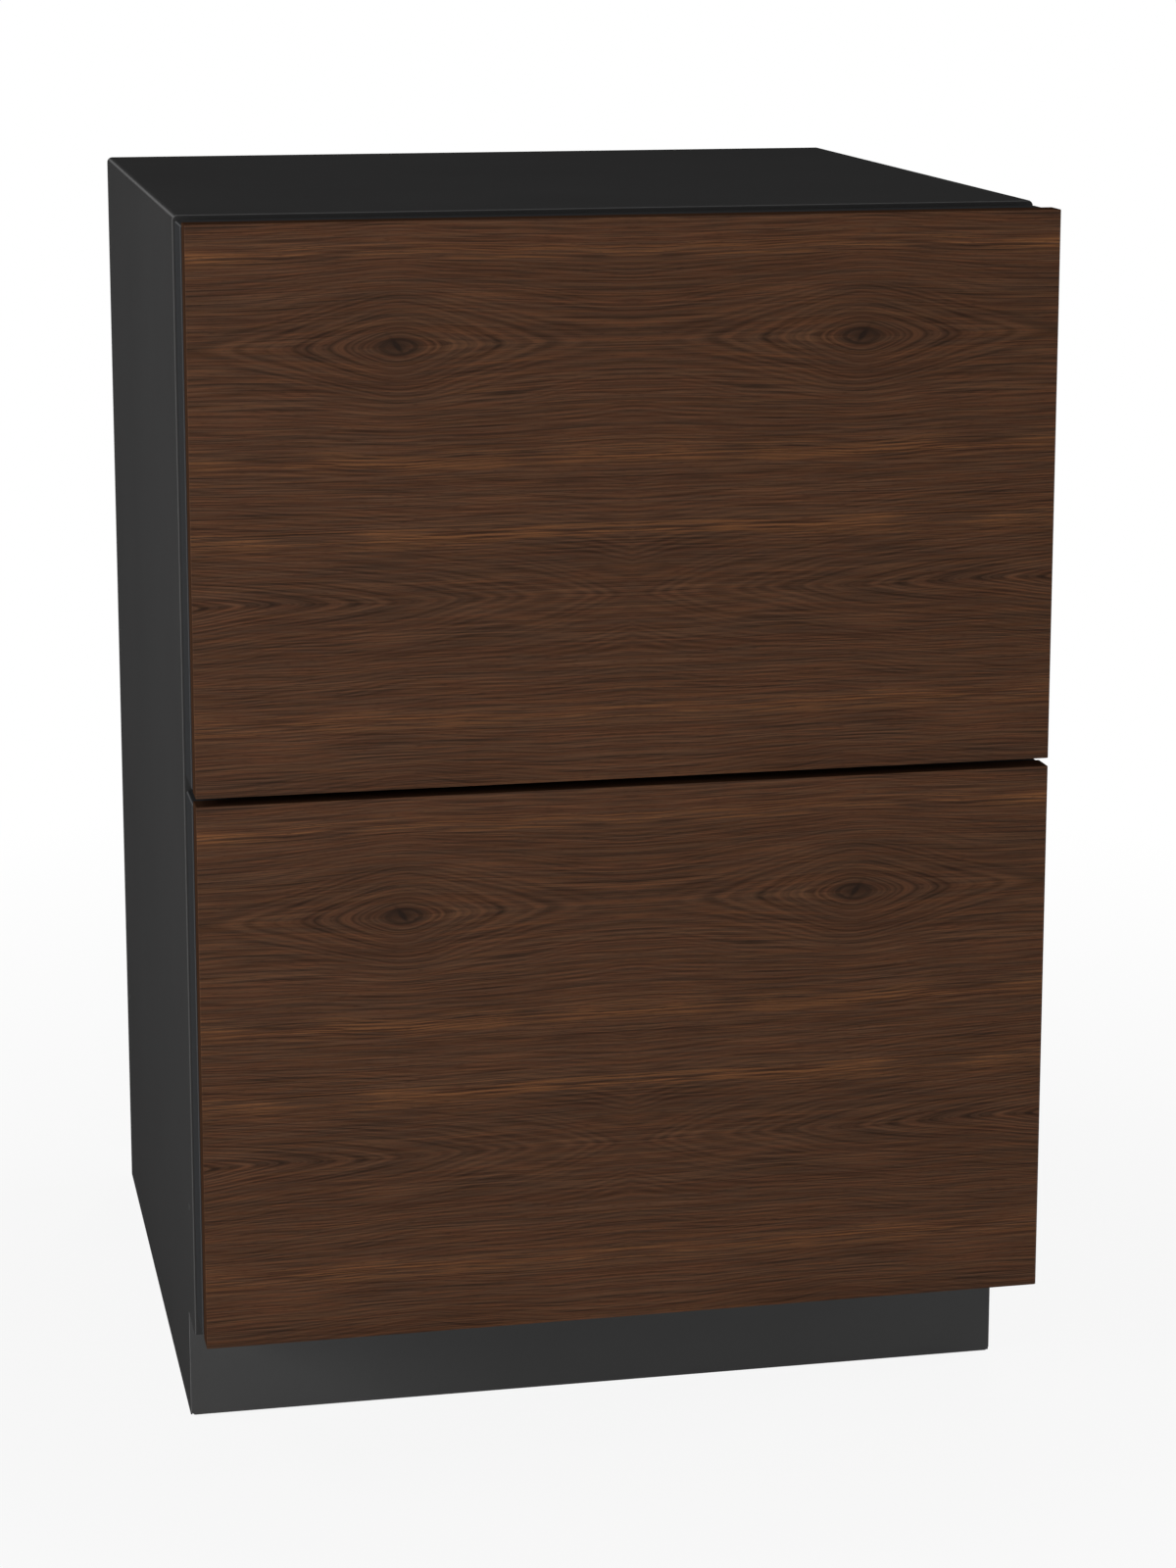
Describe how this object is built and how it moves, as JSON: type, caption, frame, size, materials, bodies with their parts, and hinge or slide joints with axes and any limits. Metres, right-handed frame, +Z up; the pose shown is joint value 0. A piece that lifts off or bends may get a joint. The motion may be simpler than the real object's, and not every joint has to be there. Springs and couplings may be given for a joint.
{
  "type": "undercounter drawer refrigerator",
  "caption": "Undercounter refrigerator with wood-fronted insulated drawers, one over the other, in a dark grey steel cabinet with a recessed toe kick.",
  "frame": {"origin": "centre of the bounding box's bottom face: on the floor, midway between the sides and between the wood fronts and the rear sheet", "axes": "+Z up, along the height; -Y out of the drawer fronts; +X to the right as seen from the front"},
  "size_m": [0.606, 0.637, 0.879],
  "materials": {
    "cabinet_steel": "satin dark grey powder coat",
    "door_steel": "satin dark grey powder coat",
    "galvanised": "galvanised, dull",
    "walnut": "dark brown veneer, horizontal grain, satin",
    "foam": "rigid insulation foam",
    "liner": "white, satin",
    "gasket": "dark grey, matte",
    "slide_steel": "zinc plated",
    "frame_steel": "stainless, satin",
    "bin": "translucent white",
    "fin_aluminium": "mill",
    "compressor_black": "black enamel",
    "copper": "copper",
    "dark_plastic": "black, fine texture",
    "lens": "opal"
  },
  "bodies": {
    "cabinet": {"cabinet_wrapper": "cabinet_steel", "toe_kick": "cabinet_steel", "cabinet_foam": "foam", "inner_liner": "liner", "centre_mullion": "door_steel", "bottom_deck": "galvanised", "back_panel": "galvanised", "machine_cover": "galvanised", "power_inlet": "dark_plastic", "base_frame": "galvanised", "upper_slide_outer_left": "slide_steel", "upper_slide_outer_right": "slide_steel", "lower_slide_outer_left": "slide_steel", "lower_slide_outer_right": "slide_steel", "compressor": "compressor_black", "terminal_box": "dark_plastic", "condenser": "fin_aluminium", "fan_shroud": "dark_plastic", "condenser_fan_motor": "dark_plastic", "filter_drier": "copper", "discharge_line": "copper", "suction_line": "copper", "drain_tray": "dark_plastic", "control_box": "dark_plastic", "evaporator": "fin_aluminium", "evaporator_cover": "liner", "evaporator_fan_motor": "dark_plastic", "light_lens": "lens", "control_panel": "dark_plastic"},
    "condenser_fan": {"condenser_fan": "dark_plastic"},
    "evaporator_fan": {"evaporator_fan": "liner"},
    "foot_front_left": {"foot_front_left": "dark_plastic"},
    "foot_front_right": {"foot_front_right": "dark_plastic"},
    "foot_rear_left": {"foot_rear_left": "dark_plastic"},
    "foot_rear_right": {"foot_rear_right": "dark_plastic"},
    "upper_slide_middles": {"upper_slide_middle_left": "slide_steel", "upper_slide_middle_right": "slide_steel"},
    "lower_slide_middles": {"lower_slide_middle_left": "slide_steel", "lower_slide_middle_right": "slide_steel"},
    "upper_drawer": {"upper_wood_panel": "walnut", "upper_door_pan": "door_steel", "upper_door_foam": "foam", "upper_door_liner": "liner", "upper_door_gasket": "gasket", "upper_bin_frame": "frame_steel", "upper_bin": "bin", "upper_slide_inner_left": "slide_steel", "upper_slide_inner_right": "slide_steel"},
    "lower_drawer": {"lower_wood_panel": "walnut", "lower_door_pan": "door_steel", "lower_door_foam": "foam", "lower_door_liner": "liner", "lower_door_gasket": "gasket", "lower_bin_frame": "frame_steel", "lower_bin": "bin", "lower_slide_inner_left": "slide_steel", "lower_slide_inner_right": "slide_steel"},
    "upper_divider": {"upper_bin_divider": "bin"},
    "lower_divider": {"lower_bin_divider": "bin"}
  },
  "joints": [
    {"name": "upper_drawer_slide", "type": "slide", "parent": "cabinet", "child": "upper_drawer", "axis": [0, -1, 0], "range_m": [0, 0.43]},
    {"name": "lower_drawer_slide", "type": "slide", "parent": "cabinet", "child": "lower_drawer", "axis": [0, -1, 0], "range_m": [0, 0.43]},
    {"name": "upper_slide_middles_travel", "type": "slide", "parent": "cabinet", "child": "upper_slide_middles", "axis": [0, -1, 0], "range_m": [0, 0.215]},
    {"name": "lower_slide_middles_travel", "type": "slide", "parent": "cabinet", "child": "lower_slide_middles", "axis": [0, -1, 0], "range_m": [0, 0.215]},
    {"name": "upper_divider_slide", "type": "slide", "parent": "upper_drawer", "child": "upper_divider", "axis": [0, 1, 0], "range_m": [-0.15, 0.15]},
    {"name": "lower_divider_slide", "type": "slide", "parent": "lower_drawer", "child": "lower_divider", "axis": [0, 1, 0], "range_m": [-0.09, 0.09]},
    {"name": "condenser_fan_spin", "type": "hinge", "parent": "cabinet", "child": "condenser_fan", "pos_m": [0.1567, 0.2079, 0.1028], "axis": [1, 0, 0], "continuous": true},
    {"name": "evaporator_fan_spin", "type": "hinge", "parent": "cabinet", "child": "evaporator_fan", "pos_m": [0, 0.2272, 0.7398], "axis": [0, 1, 0], "continuous": true},
    {"name": "foot_front_left_screw", "type": "slide", "parent": "cabinet", "child": "foot_front_left", "axis": [0, 0, -1], "range_m": [0, 0.025]},
    {"name": "foot_front_right_screw", "type": "slide", "parent": "cabinet", "child": "foot_front_right", "axis": [0, 0, -1], "range_m": [0, 0.025]},
    {"name": "foot_rear_left_screw", "type": "slide", "parent": "cabinet", "child": "foot_rear_left", "axis": [0, 0, -1], "range_m": [0, 0.025]},
    {"name": "foot_rear_right_screw", "type": "slide", "parent": "cabinet", "child": "foot_rear_right", "axis": [0, 0, -1], "range_m": [0, 0.025]}
  ],
  "couplings": [
    {"joint": "upper_slide_middles_travel", "follows": "upper_drawer_slide", "ratio": 0.5},
    {"joint": "lower_slide_middles_travel", "follows": "lower_drawer_slide", "ratio": 0.5}
  ]
}
